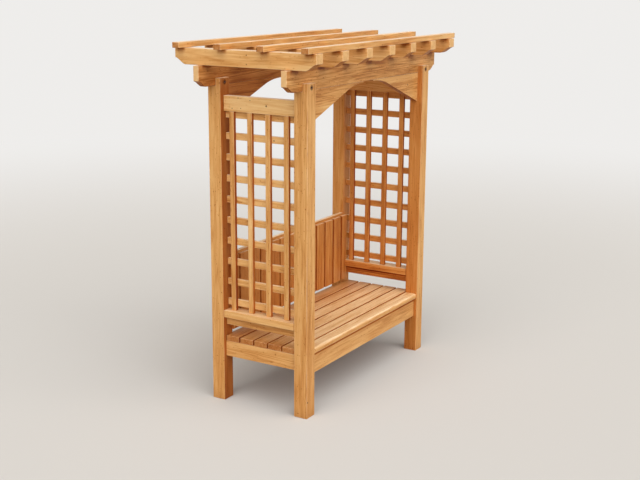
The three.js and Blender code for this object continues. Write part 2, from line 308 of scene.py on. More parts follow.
def knot_distance(tree, grain):
    """How far a point is from the nearest knot's middle, in that knot's radii."""
    cells = add_node(tree, "ShaderNodeTexVoronoi", {"Vector": grain, "Scale": knots_per_metre})
    chance = add_node(tree, "ShaderNodeSeparateColor", {0: cells.outputs["Color"]}).outputs[0]
    growth = do_sum(tree, "POWER", chance, knot_rarity)
    radius = do_sum(tree, "MULTIPLY_ADD", growth, knot_most - knot_least, knot_least)
    metres = do_sum(tree, "DIVIDE", cells.outputs["Distance"], knots_per_metre)
    nearest = do_sum(tree, "DIVIDE", metres, radius)
    place = object_place(tree)
    for middle, chosen_radius in chosen_knots:
        away = do_sum(tree, "DIVIDE", do_vectors(tree, "DISTANCE", place, middle), chosen_radius)
        nearest = do_sum(tree, "MINIMUM", nearest, away)
    return nearest


print(len(chosen_knots), "knots put in by hand")

# %% [markdown]
# The colour is built from a single number, how dark the wood is at a point. Late wood, broad bands, narrow
# streaks, fine fibres and the board's own tint all add to it, and a colour ramp turns it into a honey tone,
# from pale straw to a reddish brown. Short dark dashes are resin, and small specks are pores and pin knots.

# %% Timber colour
honey_tones = [
    (-0.35, (0.915, 0.625, 0.300)),
    (0.00, (0.830, 0.500, 0.205)),
    (0.35, (0.735, 0.385, 0.130)),
    (0.70, (0.585, 0.258, 0.068)),
    (1.00, (0.370, 0.130, 0.028)),
]
knot_tones = [
    (0.00, (0.120, 0.045, 0.015)),
    (0.55, (0.260, 0.100, 0.030)),
    (0.85, (0.090, 0.030, 0.010)),
    (1.00, (0.200, 0.075, 0.020)),
]
ring_weight = 0.20
figure = [  # cells along and across the grain, detail, waviness and weight
    (1.2, 14.0, 2.0, 0.6, 0.70),
    (3.4, 50.0, 2.5, 0.9, 0.95),
    (16.0, 420.0, 2.0, 0.0, 0.30),
]
figure_middle = 0.5  # what the noise is on average
resin_dashes = (15.0, 120.0, 0.68, 0.78, 0.34)  # cells along and across, where a mark fades in, weight
specks = (62.0, 110.0, 0.67, 0.76, 0.50)
mark_detail = 1.0


def ramp(tree, value, tones):
    """A colour ramp through (place, colour) stops, which may start anywhere."""
    start, end = tones[0][0], tones[-1][0]
    share = add_node(tree, "ShaderNodeMapRange", {"Value": value, 1: start, 2: end}).outputs[0]
    node = add_node(tree, "ShaderNodeValToRGB", {0: share})
    stops = node.color_ramp.elements
    while len(stops) < len(tones):
        stops.new(1.0)
    for stop, (place, colour) in zip(stops, tones):
        stop.position = (place - start) / (end - start)
        stop.color = (*colour, 1)
    return node.outputs[0]


def attribute(tree, name, output="Fac"):
    """A value that the mesh carries."""
    return add_node(tree, "ShaderNodeAttribute", attribute_name=name).outputs[output]


def timber_depth(tree, grain, rings, depth, boldness):
    """How dark the wood is, from 0 to 1, round the finish's own depth."""
    total = do_sum(tree, "ADD", attribute(tree, "tint"), depth)
    total = do_sum(tree, "MULTIPLY_ADD", rings, ring_weight * boldness, total)
    for along, across, detail, wave, weight in figure:
        noise = stretched_noise(tree, grain, along, across, detail, wave)
        centred = do_sum(tree, "SUBTRACT", noise, figure_middle)
        total = do_sum(tree, "MULTIPLY_ADD", centred, weight * boldness, total)
    for along, across, start, end, weight in (resin_dashes, specks):
        marks = fade(tree, stretched_noise(tree, grain, along, across, mark_detail), start, end)
        total = do_sum(tree, "MULTIPLY_ADD", marks, weight, total)
    return total


print(len(honey_tones), "honey tones,", len(figure), "layers of figure")

# %% [markdown]
# Ends and edges differ from the faces. End grain drinks more of the finish and comes out darker, but the
# ends of the headers and rafters stand in the open and have bleached. So each board's end attribute is
# positive where its ends are dark and negative where they are pale. The eased edges are paler, unevenly,
# partly as wear from hands and weather and partly as a painted highlight along each edge.

# %% Ends and edges
pale_end_tone = (0.86, 0.56, 0.27, 1)
dark_end_tone = (0.67, 0.51, 0.42, 1)
# The worn tone pales the eased edges, as wear and as a painted highlight along them.
worn_and_lit_tone = (0.97, 0.76, 0.52, 1)
edge_wear_and_light = 0.38
rub_cells = (9.0, 60.0)
rub_range = (0.38, 0.62)  # of the noise
rub_least = 0.25  # what is worn even where the rubbing spares an edge


def bare_wood(tree, grain, end, darkness):
    """The planed board in its honey tone, its ends, and edges paled by wear and painted highlight."""
    wood = ramp(tree, darkness, honey_tones)
    wood = mix_colours(tree, fade(tree, end, 0.0, 1.0), wood, dark_end_tone, "MULTIPLY")
    wood = mix_colours(tree, fade(tree, end, 0.0, -1.0), wood, pale_end_tone)
    rubbed = fade(tree, stretched_noise(tree, grain, *rub_cells), *rub_range, rub_least, 1.0)
    # Edges paled as wear and as a painted highlight.
    worn_and_lit = do_sum(tree, "MULTIPLY", attribute(tree, "edge"), do_sum(tree, "MULTIPLY", rubbed, edge_wear_and_light))
    return mix_colours(tree, worn_and_lit, wood, worn_and_lit_tone)


# %% [markdown]
# Faces that look down or into the arbour get painted shade: their colour is darkened to a deep red-brown
# where the arbour shades itself. A face's direction and place say which it is: it looks inwards when it
# points back at the middle of the seat, which is where x and y are zero. The seat's slats get painted shade
# too, at the rear below the roof and the backrest, and at their ends below the side panels.

# %% Painted shade
side_shade_tone = (0.84, 0.62, 0.42, 1)
back_shade_tone = (0.70, 0.49, 0.31, 1)
# Recesses get painted shade: faces in gaps, seams and strips under an overhang are darkened.
recess_shade_tone = (0.62, 0.35, 0.16, 1)
looks_up = (0.3, 0.9)  # the upward part of a face's direction, from a slope to level
eaves = (1.90, 2.10)  # the heights between which the shelter of the roof ends
eaves_shade = 0.3  # what is left of it above them
inward_side = 0.4  # how far from the middle an inward face is fully sheltered, from side to side
inward_back = 0.2  # the same from front to back
seat_height = (0.50, 0.60)  # nothing above these heights is seat
seat_depth = (-0.05, 0.24)  # from the open front of the seat to its sheltered rear
rear_shade = 1.0
seat_end = 0.76
end_shade = 0.10  # how far the deepest shade of a side panel reaches in
end_shade_share = 0.75


def painted_shade(tree, place, facing):
    """How much painted shade a face gets: for looking across the seat, and for looking out of its rear or
    down.
    """
    x, y, z = split(tree, place)
    upwards = split(tree, facing)["Z"]
    inward = split(tree, do_vectors(tree, "MULTIPLY", facing, place))
    below_roof = fade(tree, z, *eaves, 1.0, eaves_shade)
    across = do_sum(tree, "MULTIPLY", fade(tree, inward["X"], 0.0, -inward_side), below_roof)
    forward = do_sum(tree, "MULTIPLY", fade(tree, inward["Y"], 0.0, -inward_back), below_roof)
    rear = fade(tree, y, *seat_depth, 0.0, rear_shade)
    sideways = do_sum(tree, "ABSOLUTE", x)
    below_panel = fade(tree, sideways, seat_end - end_shade, seat_end, 0.0, end_shade_share)
    deep = do_sum(tree, "MAXIMUM", rear, below_panel)
    on_seat = do_sum(tree, "MULTIPLY", deep, fade(tree, z, *seat_height, 1.0, 0.0))
    flat = do_sum(tree, "MULTIPLY", on_seat, fade(tree, upwards, *looks_up))
    under = fade(tree, upwards, *(-part for part in looks_up))
    return across, do_sum(tree, "MAXIMUM", forward, do_sum(tree, "MAXIMUM", flat, under))


# %% [markdown]
# Faces that look up go pale: the roof's most, the seat's a little, and not at all below the side panels.
# The paleness is partly bleaching by the sun and partly painted light from the bright sky, and its absence
# below the panels is painted shade. The front slat's nose is paler still, as polish from everyone who sits
# down and as a painted highlight. The pale tone is darkened again along the dark grain, because bleached
# wood keeps its figure.

# %% Bleaching and painted light
# Pale tones for upward faces: partly bleaching, partly painted light.
bleached_lit_roof_tone = (0.91, 0.72, 0.52, 1)
bleached_lit_seat_tone = (1.0, 0.81, 0.55, 1)
streak_tone = (0.76, 0.58, 0.40, 1)
streak_range = (-0.10, 0.75)  # how dark the wood is where the streaks start and are full
roof_height = 2.05
bleach_low = 0.4  # the height up to which only the seat's share bleaches
roof_tone_low = 0.5  # the height from which the seat's pale tone turns into the roof's
seat_bleach_and_light = 0.45
roof_bleach_and_light = 0.9
seat_top = (0.43, 0.45)
seat_open = 0.50  # how far from the middle the side panels' shade begins
nose_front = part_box("seat_slat_1")[0].y
nose_flat = 0.032  # how far behind its front edge the nose is no longer polished
nose_round = 0.010  # and where it is polished fully
# The nose's pale band is partly polish from use and partly a painted highlight.
nose_polish_and_highlight = 0.30


def bleach_and_light(tree, place, facing):
    """How much a face that looks up is paled, by sun bleaching and by painted light and highlight."""
    x, y, z = split(tree, place)
    exposed = fade(tree, z, bleach_low, roof_height, seat_bleach_and_light, roof_bleach_and_light)
    at_nose = fade(tree, y, nose_front + nose_flat, nose_front + nose_round, 0.0, nose_polish_and_highlight)
    on_seat = fade(tree, z, *seat_top, 1.0, 0.0)
    paled = do_sum(tree, "MULTIPLY_ADD", at_nose, on_seat, exposed)
    below_panel = fade(tree, do_sum(tree, "ABSOLUTE", x), seat_open, seat_end)
    outside_panel_shade = do_sum(tree, "SUBTRACT", 1.0, do_sum(tree, "MULTIPLY", below_panel, on_seat))
    upward = fade(tree, split(tree, facing)["Z"], *looks_up)
    return do_sum(tree, "MULTIPLY", do_sum(tree, "MULTIPLY", paled, outside_panel_shade), upward)


def bleached_and_lit_wood(tree, wood, darkness, place, facing):
    """The wood with its upward faces paled, by bleaching and by painted light."""
    high = fade(tree, split(tree, place)["Z"], roof_tone_low, roof_height)
    pale = mix_colours(tree, high, bleached_lit_seat_tone, bleached_lit_roof_tone)
    streaks = fade(tree, darkness, *streak_range)
    pale = mix_colours(tree, streaks, pale, streak_tone, "MULTIPLY")
    return mix_colours(tree, bleach_and_light(tree, place, facing), wood, pale)


print("the nose begins at y", round(nose_front, 3))

# %% [markdown]
# The wood beside each crossing of the roof is darkened for a few centimetres as painted shadow: on the
# rafters under the battens, and on the headers under the rafters. The crossings are evenly spaced, so the
# distance to the nearest one is a ping-pong of the place along the row. Round each bolt's head its post is
# darkened in a small grey-brown ring.

# %% Painted shadow at crossings, rings at bolts
along_x, along_y, along_z = range(3)
batten_count = 4
rafter_count = 7
# The crossings get painted shadow: the darkening below each crossing timber stands in for its shadow.
crossing_shadow_tone = (0.56, 0.31, 0.14, 1)
joint_spread = 0.016
# Stain here means the painted shadow.
joint_overlap = 0.004  # how far in from the crossing timber's side the stain is full
joint_depth = 0.034
joint_ragged = 0.02
ragged_cells = (30.0, 60.0)
joint_lift = joint_ragged / 2  # what the noise adds to a point's height on average
joint_top = (0.001, 0.002)  # just above the timber's top, where the crossing timber is spared
# A darker grey-brown ring round each bolt's head.
bolt_tone = (0.34, 0.27, 0.22, 1)
bolt_halo = (0.019, 0.011)  # the halo's outer and inner radius


def crossing(tree, ragged, place, below, row, count, axis):
    """1 on a timber just under each of a row of timbers that lie across it, fading out round them."""
    low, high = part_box(f"{row}_1")
    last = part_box(f"{row}_{count}")[0]
    middle, half = (low[axis] + high[axis]) / 2, (high[axis] - low[axis]) / 2
    pitch = (last[axis] - low[axis]) / (count - 1)
    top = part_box(below)[1].z
    parts = split(tree, place)
    deep = fade(tree, ragged, top + joint_lift - joint_depth, top + joint_lift)
    inside = fade(tree, parts["Z"], *(top + rise for rise in joint_top), 1.0, 0.0)
    away = do_sum(tree, "PINGPONG", do_sum(tree, "SUBTRACT", parts[axis], middle), pitch / 2)
    beside = fade(tree, away, half + joint_spread, half - joint_overlap)
    return do_sum(tree, "MULTIPLY", beside, do_sum(tree, "MULTIPLY", deep, inside))


def crossing_shadow(tree, grain, place):
    """How much painted shadow lies beside the roof's crossings."""
    noise = stretched_noise(tree, grain, *ragged_cells)
    ragged = do_sum(tree, "MULTIPLY_ADD", noise, joint_ragged, split(tree, place)["Z"])
    on_rafters = crossing(tree, ragged, place, "rafter_1", "batten", batten_count, along_y)
    on_headers = crossing(tree, ragged, place, "header_front", "rafter", rafter_count, along_x)
    return do_sum(tree, "MAXIMUM", on_rafters, on_headers)


def bolt_ring(tree, place):
    """1 round the bolts' axes, which lie along y at the same height and distance from the middle."""
    low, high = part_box("bolt_front_right")
    middle = (low + high) / 2
    flat = do_vectors(tree, "MULTIPLY", do_vectors(tree, "ABSOLUTE", place), (1, 0, 1))
    away = do_vectors(tree, "DISTANCE", flat, (middle.x, 0, middle.z))
    return fade(tree, away, *bolt_halo)


print(batten_count * rafter_count, "crossings on the rafters,", 2 * rafter_count, "on the headers")

# %% [markdown]
# The posts stand on the ground. All upright faces are darkened a little up to hip height as painted shade,
# since less light reaches low down, and the posts' feet are darker still. A noise makes both edges uneven.

# %% Painted low shade and dark feet
foot_ragged = 0.05
foot_cells = (14.0, 30.0)
low_shade_heights = (0.1, 0.9)
low_shade_share = 0.55
# Splashed here means under the painted low shade.
low_shade_upright = (0.2, 0.7)  # the upward part of a face's direction, from splashed to spared
low_shade_tone = (0.88, 0.76, 0.64, 1)
foot_dark_heights = (-0.02, 0.05)
foot_dark_share = 0.35
foot_dark_tone = (0.62, 0.50, 0.42, 1)


def footed_wood(tree, wood, grain, place, facing):
    """The wood darkened towards the ground."""
    noise = stretched_noise(tree, grain, *foot_cells)
    level = do_sum(tree, "MULTIPLY_ADD", noise, -foot_ragged, split(tree, place)["Z"])
    upright = fade(tree, split(tree, facing)["Z"], *low_shade_upright, low_shade_share, 0.0)
    low_shaded = do_sum(tree, "MULTIPLY", fade(tree, level, *low_shade_heights, 1.0, 0.0), upright)
    wood = mix_colours(tree, low_shaded, wood, low_shade_tone, "MULTIPLY")
    foot_dark = fade(tree, level, *foot_dark_heights, foot_dark_share, 0.0)
    return mix_colours(tree, foot_dark, wood, foot_dark_tone, "MULTIPLY")


# %% [markdown]
# The layers go on one after another: the planed wood, the paling of faces that look up, partly bleaching
# and partly painted light, then the knots, which stay dark on a pale face, and over them painted shade,
# recesses, painted shadow at the roof's crossings, the ring at the bolts and the darkening towards the
# ground. A recess is a face inside a joint or a gap, which gets painted shade as no light reaches it. The
# finish itself is satin: the fibres and rings stand up a little under it, and end grain and recesses stay
# dull.

# %% Timber finish
knot_rim = (0.85, 1.15)
fibre_cells = (30.0, 900.0)
ring_relief = 0.5
relief_strength = 0.22
relief_height = 0.0006
satin = 0.38  # the roughness of the finish
satin_fibres = 0.16  # how much rougher it is on a fibre
satin_dull = 0.3  # and on end grain and in recesses
finish_bend = 1.48  # the index of refraction of the clear finish
finish_shine = 0.2
timber_looks = {  # how deep the honey colour is, and how bold its grain
    "post_timber": (0.29, 1.4),
    "roof_timber": (0.17, 1.6),
    "panel_timber": (0.28, 1.5),
    "seat_timber": (0.13, 1.5),
    "back_timber": (0.14, 1.8),
}


def timber_material(name, depth, boldness):
    """Clear-finished softwood, by how deep its honey colour is and how bold its grain."""
    material, tree, surface = new_material(name)
    grain = attribute(tree, "grain", "Vector")
    end = attribute(tree, "end")
    recess = attribute(tree, "recess")
    place = object_place(tree)
    facing = add_node(tree, "ShaderNodeNewGeometry").outputs["Normal"]
    knot = knot_distance(tree, grain)
    rings = growth_rings(tree, grain, knot)
    darkness = timber_depth(tree, grain, rings, depth, boldness)
    wood = bare_wood(tree, grain, end, darkness)
    # Upward faces paled, partly by bleaching and partly as painted light.
    wood = bleached_and_lit_wood(tree, wood, darkness, place, facing)
    wood = mix_colours(tree, fade(tree, knot, *knot_rim, 1.0, 0.0), wood, ramp(tree, knot, knot_tones))
    # Painted shade on faces that look into the arbour or down, and at the seat's rear and ends.
    across, forward = painted_shade(tree, place, facing)
    wood = mix_colours(tree, across, wood, side_shade_tone, "MULTIPLY")
    wood = mix_colours(tree, forward, wood, back_shade_tone, "MULTIPLY")
    # Painted shade in recesses.
    wood = mix_colours(tree, recess, wood, recess_shade_tone, "MULTIPLY")
    # Painted shadow beside the roof's crossings.
    wood = mix_colours(tree, crossing_shadow(tree, grain, place), wood, crossing_shadow_tone, "MULTIPLY")
    # A darker ring round each bolt's head.
    wood = mix_colours(tree, bolt_ring(tree, place), wood, bolt_tone, "MULTIPLY")
    # Painted shade low down, and darker feet.
    wood = footed_wood(tree, wood, grain, place, facing)

    fibres = stretched_noise(tree, grain, *fibre_cells)
    relief = do_sum(tree, "MULTIPLY_ADD", rings, ring_relief, fibres)
    unpolished = do_sum(tree, "MAXIMUM", do_sum(tree, "ABSOLUTE", end), recess)
    sheen = do_sum(tree, "MULTIPLY_ADD", fibres, satin_fibres, satin)
    bump = add_node(tree, "ShaderNodeBump", {
        "Strength": relief_strength,
        "Distance": relief_height,
        "Height": relief,
    })
    shader = add_node(tree, "ShaderNodeBsdfPrincipled", {
        "Base Color": wood,
        "Roughness": do_sum(tree, "MULTIPLY_ADD", unpolished, satin_dull, sheen),
        "IOR": finish_bend,
        "Specular IOR Level": finish_shine,
        "Normal": bump.outputs[0],
    })
    tree.links.new(shader.outputs[0], surface)
    return material


finishes = {name: timber_material(name, *look) for name, look in timber_looks.items()}
print("timber finishes:", ", ".join(finishes))

# %% [markdown]
# The bolts are zinc-plated steel that has stood outside: a dull grey metal with cloudy spangle and a few
# darker spots. Metal gets its look from reflections, so the colour varies little and the roughness more.

# %% Zinc plating
spangle = (260.0, 3.0)  # noise cells per metre and detail
grime = (90.0, 2.0)
dark_plate = (0.045, 0.05, 0.06, 1)
bright_plate = (0.13, 0.135, 0.15, 1)
grime_tone = (0.10, 0.085, 0.07, 1)
grime_range = (0.5, 0.75)
grime_share = 0.6
plate_roughness = 0.28
plate_cloudiness = 0.25


def blotches(tree, cells, detail):
    """Noise from 0 to 1, alike in all directions."""
    inputs = {"Vector": object_place(tree), "Scale": cells, "Detail": detail}
    return add_node(tree, "ShaderNodeTexNoise", inputs).outputs[0]


def zinc_plating(name):
    """Dull cloudy zinc with some grime on it."""
    material, tree, surface = new_material(name)
    cloud = blotches(tree, *spangle)
    dirty = fade(tree, blotches(tree, *grime), *grime_range, 0.0, grime_share)
    plate = mix_colours(tree, cloud, dark_plate, bright_plate)
    shader = add_node(tree, "ShaderNodeBsdfPrincipled", {
        "Base Color": mix_colours(tree, dirty, plate, grime_tone),
        "Metallic": 1.0,
        "Roughness": do_sum(tree, "MULTIPLY_ADD", cloud, plate_cloudiness, plate_roughness),
    })
    tree.links.new(shader.outputs[0], surface)
    return material


finishes["bolt_zinc"] = zinc_plating("bolt_zinc")
print("bolts:", finishes["bolt_zinc"].name)

# %% [markdown]
# Every board starts as a block between two corners and is then worked in edit mode, as a board is worked on
# the bench. An operator acts on whatever is selected, so each helper first deselects everything and then
# picks faces, edges or corners by where they are and which way they face.

# %% Helpers for shaping
near = 1e-5  # two places this close are the same
square_on = 0.9  # a face looks along an axis if this much of its direction does


def deselect_all():
    bpy.ops.object.select_all(action="DESELECT")


def make_active(piece):
    """Selects one piece and nothing else."""
    deselect_all()
    piece.select_set(True)
    bpy.context.view_layer.objects.active = piece


def set_in_place(piece):
    """Moves the object's place into its mesh, so that the object sits at the origin."""
    make_active(piece)
    bpy.ops.object.transform_apply(location=True, rotation=True, scale=True)


def add_block(name, low, high):
    """A block from its lowest to its highest corner."""
    deselect_all()
    low, high = Vector(low), Vector(high)
    bpy.ops.mesh.primitive_cube_add(size=1, location=(low + high) / 2, scale=high - low)
    block = bpy.context.object
    block.name = name
    set_in_place(block)
    return block


@contextmanager
def edit_mode(piece):
    """Works on one piece in edit mode."""
    make_active(piece)
    bpy.ops.object.mode_set(mode="EDIT")
    yield
    bpy.ops.object.mode_set(mode="OBJECT")


def pick(piece, kind, wanted):
    """Selects the faces, edges or corners for which wanted(middle, direction) is true."""
    bpy.ops.mesh.select_mode(type=kind)
    bpy.ops.mesh.select_all(action="DESELECT")
    shape = bmesh.from_edit_mesh(piece.data)
    if kind == "FACE":
        for face in shape.faces:
            face.select_set(wanted(face.calc_center_median(), face.normal))
    elif kind == "EDGE":
        for edge in shape.edges:
            start, end = (corner.co for corner in edge.verts)
            edge.select_set(wanted((start + end) / 2, (end - start).normalized()))
    else:
        for corner in shape.verts:
            corner.select_set(wanted(corner.co, corner.normal))
    bmesh.update_edit_mesh(piece.data)


def looking(axis, side=1):
    """For pick: the faces that look along an axis, towards its high side (1) or its low side (-1)."""
    return lambda at, facing: facing[axis] * side > square_on


def pull_out(offset):
    """Extrudes the selected faces by an offset and leaves the new ones selected."""
    bpy.ops.mesh.extrude_region_move(TRANSFORM_OT_translate={"value": tuple(offset)})


def apply_modifier(piece, kind, **settings):
    """Adds a modifier, sets it and applies it."""
    make_active(piece)
    bpy.ops.object.modifier_add(type=kind)
    modifier = piece.modifiers[-1]
    for name, value in settings.items():
        setattr(modifier, name, value)
    bpy.ops.object.modifier_apply(modifier=modifier.name)


def copy_piece(piece, name, move=(0, 0, 0)):
    """A copy with its own mesh, moved."""
    make_active(piece)
    bpy.ops.object.duplicate(linked=False)
    twin = bpy.context.object
    twin.name = name
    bpy.ops.transform.translate(value=tuple(move))
    set_in_place(twin)
    return twin


# %% [markdown]
# Joints are cut by taking one shape out of another. A Boolean modifier does what the chisel and the drill
# do: the cutter is a block or a cylinder a hair larger than what goes in, and it is thrown away after the
# cut. Sharp edges are then eased by a Bevel modifier that looks only at real corners, so gentle curves
# stay as they are.

# %% Helpers for cutting and easing
eased_edge = 0.0022
real_corner = math.radians(35)


def cut(piece, cutter):
    """Takes the cutter out of the piece and throws the cutter away."""
    apply_modifier(piece, "BOOLEAN", operation="DIFFERENCE", object=cutter, solver="EXACT")
    bpy.data.objects.remove(cutter)


def ease_edges(piece, width=eased_edge, steps=2):
    """Rounds the sharp edges, as a few strokes of a plane and sandpaper do."""
    apply_modifier(piece, "BEVEL", width=width, segments=steps, limit_method="ANGLE",
                   angle_limit=real_corner, use_clamp_overlap=True)


# %% [markdown]
# The last thing done to each board is to mark its faces. A Bevel leaves thin strips along the edges: they
# are the worn edges, paler as wear and as a painted highlight, unless they look towards a joint, where a
# dark line of shadow and dirt shows instead. Such seams, and whole faces inside a gap, are marked as
# recessed and get painted shade.

# %% Helpers for marking faces
strip_width = 4 * eased_edge  # a strip is narrower than this on average
seam_look = 0.3  # how much of a strip's direction has to point at the joint


def nowhere(face):
    """Marks no face of the piece."""
    return False


def sides(axis):
    """Marks the faces that look along an axis, either way."""
    return lambda face: abs(face.normal[axis]) > square_on


def write_attribute(piece, name, kind, domain, field, values):
    """Writes a layer of values, into the old layer where the piece was copied from a finished one."""
    layer = piece.data.attributes.get(name) or piece.data.attributes.new(name, kind, domain)
    layer.data.foreach_set(field, values)


def narrow(face, mesh):
    """True for the thin strips that easing leaves along an edge."""
    corners = [mesh.vertices[i].co for i in face.vertices]
    lengths = [(corners[i] - corners[i - 1]).length for i in range(len(corners))]
    return min(lengths) < eased_edge and face.area < strip_width * max(lengths)


def seam(face, mesh, seams):
    """True for an eased edge that looks towards a joint, by the joints' directions."""
    return narrow(face, mesh) and any(face.normal.dot(way) > seam_look for way in seams)


# %% [markdown]
# Then the board gets its place in the tree it came from. Its length decides which way the grain runs. The
# pith is put somewhere outside the board, or inside it on a thick post, with a slight slope, because no
# board is sawn quite parallel to its trunk. The dice are thrown from the piece's name, so the same board
# comes out each time. At last the piece is given its finish and tied to the timber that it stands for.

# %% Helpers for finishing a timber
pith_nearest = 0.035
pith_farthest = 0.110
grain_slope = 0.012
trunk_length = 60  # the boards come from random places along it
tint_range = 0.075
end_sharpness = 3  # the higher, the less of a rounded edge counts as end grain
smooth_angle = math.radians(50)


def lay_grain(piece, along, in_shade, seams, worn_and_lit, tint, ends_look):
    """Writes the wood's own coordinates, its ends, edges, faces for painted shade and tint into the mesh.
    """
    dice = random.Random(piece.name)
    mesh = piece.data
    middle = sum((Vector(corner) for corner in piece.bound_box), Vector()) / 8
    across = [axis for axis in range(3) if axis != along]
    turn = dice.uniform(0, math.tau)
    distance = dice.uniform(pith_nearest, pith_farthest)
    pith = (distance * math.cos(turn), distance * math.sin(turn))
    slopes = [dice.uniform(-grain_slope, grain_slope) for _ in across]
    start = dice.uniform(0, trunk_length)
    coordinates = []
    for corner in mesh.vertices:
        place = corner.co - middle
        coordinates.append(place[along] + start)
        for axis, offset, slope in zip(across, pith, slopes):
            coordinates.append(place[axis] + offset + slope * place[along])
    write_attribute(piece, "grain", "FLOAT_VECTOR", "POINT", "vector", coordinates)
    tint += dice.uniform(-tint_range, tint_range)
    marks = {
        "end": [ends_look * abs(face.normal[along]) ** end_sharpness for face in mesh.polygons],
        "edge": [float(narrow(face, mesh) or worn_and_lit(face)) for face in mesh.polygons],
        "recess": [float(in_shade(face) or seam(face, mesh, seams)) for face in mesh.polygons],
        "tint": [tint] * len(mesh.polygons),
    }
    for name, values in marks.items():
        write_attribute(piece, name, "FLOAT", "FACE", "value", values)


def shade(piece):
    """Smooth over eased edges and curves, flat on the faces."""
    make_active(piece)
    bpy.ops.object.shade_smooth_by_angle(angle=smooth_angle)
    apply_modifier(piece, "WEIGHTED_NORMAL", keep_sharp=True)


def finish_timber(piece, node, slot, along, in_shade=nowhere, seams=(), worn_and_lit=nowhere, tint=0.0,
                  ends_look=1.0):
    """The board is done: grain, finish, and the node of the construction that it stands for."""
    shade(piece)
    lay_grain(piece, along, in_shade, seams, worn_and_lit, tint, ends_look)
    piece.data.materials.clear()
    piece.data.materials.append(finishes[slot])
    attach(piece, "root")
    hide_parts(node)


# %% [markdown]
# Twelve cross timbers have tenons: at each side a top rail, a sill, a lower rail and an apron, and between
# the sides the front apron, the seat's rear rail and the backrest's two rails. Each is a board whose ends
# are drawn in and pulled out again as tenons. On the bench the shoulders are sawn away; here the end face
# is extruded without moving, shrunk to the tenon's section and extruded again, which leaves the same
# shoulders. The tenons sit inside the posts, where the mortises come later.
#
# The top strip of three of them lies in the shade of the seat's nose or of a sill, which is painted on it
# as a dark line. A bisect cuts the board's faces at the strip's foot, so that the strip can be marked for
# it.

# %% Rails with tenons
tenon_length = 0.025
tenon_thick_share = 0.4
tenon_shoulder = 0.012
# The top rails are paler than their finish as painted light, where the roof's shade would fall on them, and
# the right lower rail is darker as painted shade under its sill.
rails = {  # which way it runs, its finish, and how much darker or, below zero, paler it is than that
    "top_rail_left": (along_y, "panel_timber", -0.20),
    "top_rail_right": (along_y, "panel_timber", -0.50),
    "sill_left": (along_y, "panel_timber", -0.05),
    "sill_right": (along_y, "panel_timber", -0.12),
    "lower_rail_left": (along_y, "panel_timber", 0.05),
    "lower_rail_right": (along_y, "panel_timber", 0.42),
    "side_apron_left": (along_y, "seat_timber", 0.10),
    "side_apron_right": (along_y, "seat_timber", 0.10),
    "front_apron": (along_x, "seat_timber", 0.0),
    "rear_seat_rail": (along_x, "seat_timber", 0.10),
    "back_top_rail": (along_x, "back_timber", -0.10),
    "back_lower_rail": (along_x, "back_timber", 0.0),
}
shaded_strips = {"front_apron": 0.019, "lower_rail_left": 0.010, "lower_rail_right": 0.014}


def tenon_shares(size, along):
    """The tenon's section as shares of the rail's, with 1 along its length."""
    across = [axis for axis in range(3) if axis != along]
    thin = min(across, key=lambda axis: size[axis])
    shares = Vector((1, 1, 1))
    for axis in across:
        shares[axis] = tenon_thick_share if axis == thin else 1 - 2 * tenon_shoulder / size[axis]
    return shares


def make_rail(node, along):
    """A rail with a tenon at each end."""
    low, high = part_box(node)
    reach = Vector((0, 0, 0))
    reach[along] = tenon_length
    rail = add_block(f"{node}_dressed", low + reach, high - reach)
    middle = (low + high) / 2
    shares = tenon_shares(high - low, along)
    with edit_mode(rail):
        for side in (-1, 1):
            pick(rail, "FACE", looking(along, side))
            pull_out((0, 0, 0))
            bpy.ops.transform.resize(value=shares, center_override=middle)
            pull_out(side * reach)
    ease_edges(rail)
    return rail


def mark_strip(rail, level):
    """Cuts a line round the rail at a level, and marks the faces above it."""
    with edit_mode(rail):
        bpy.ops.mesh.select_all(action="SELECT")
        bpy.ops.mesh.bisect(plane_co=(0, 0, level), plane_no=(0, 0, 1))
    return lambda face: face.center.z > level


for node, (along, slot, tint) in rails.items():
    rail = make_rail(node, along)
    in_shade = nowhere
    if node in shaded_strips:
        in_shade = mark_strip(rail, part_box(node)[1].z - shaded_strips[node])
    way = Vector([float(axis == along) for axis in range(3)])
    finish_timber(rail, node, slot, along, in_shade, (way, -way), tint=tint)
print(len(rails), "rails with tenons")

# %% [markdown]
# The four posts are alike before their mortises are cut: square timbers whose top is notched, so that a
# cheek stands in front of the header and a shoulder carries it. The first post is a block up to the
# shoulder. Its top face is bisected behind the cheek and the front part is extruded upwards. Then the
# bolt's hole is drilled through the cheek, and the post is copied to the other three corners.

# %% The first post
touch = 0.0003  # that touching timbers keep
bolt_hole = 0.011
bolt_steps = 32

post_low, post_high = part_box("post_front_left")
header_low, header_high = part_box("header_front")
shoulder = header_low.z - touch
cheek_back = header_low.y - touch
bolt_low, bolt_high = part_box("bolt_front_left")
bolt_middle = (bolt_low + bolt_high) / 2


def drill(piece, middle, depth, width):
    """Drills a hole along y."""
    deselect_all()
    bpy.ops.mesh.primitive_cylinder_add(vertices=bolt_steps, radius=width / 2, depth=depth,
                                        location=middle, rotation=(math.pi / 2, 0, 0))
    cut(piece, bpy.context.object)


first_post = add_block("post_front_left_dressed", post_low, (post_high.x, post_high.y, shoulder))
with edit_mode(first_post):
    pick(first_post, "FACE", looking(along_z))
    bpy.ops.mesh.bisect(plane_co=(0, cheek_back, 0), plane_no=(0, 1, 0))
    pick(first_post, "FACE", lambda at, facing: facing.z > square_on and at.y < cheek_back)
    pull_out((0, 0, post_high.z - shoulder))
drill(first_post, bolt_middle, bolt_high.y - bolt_low.y, bolt_hole)
print("first post", len(first_post.data.vertices), "corners")

# %% [markdown]
# A mortise is cut with a block of the size of the tenon that goes in, so it fits wherever the rail is. The
# rear left post's front face stands deep in the corner between the backrest and the side panel, so it gets
# half the painted shade of a recess. The rear right post is paler, which makes up for the painted shade on
# its inner face.

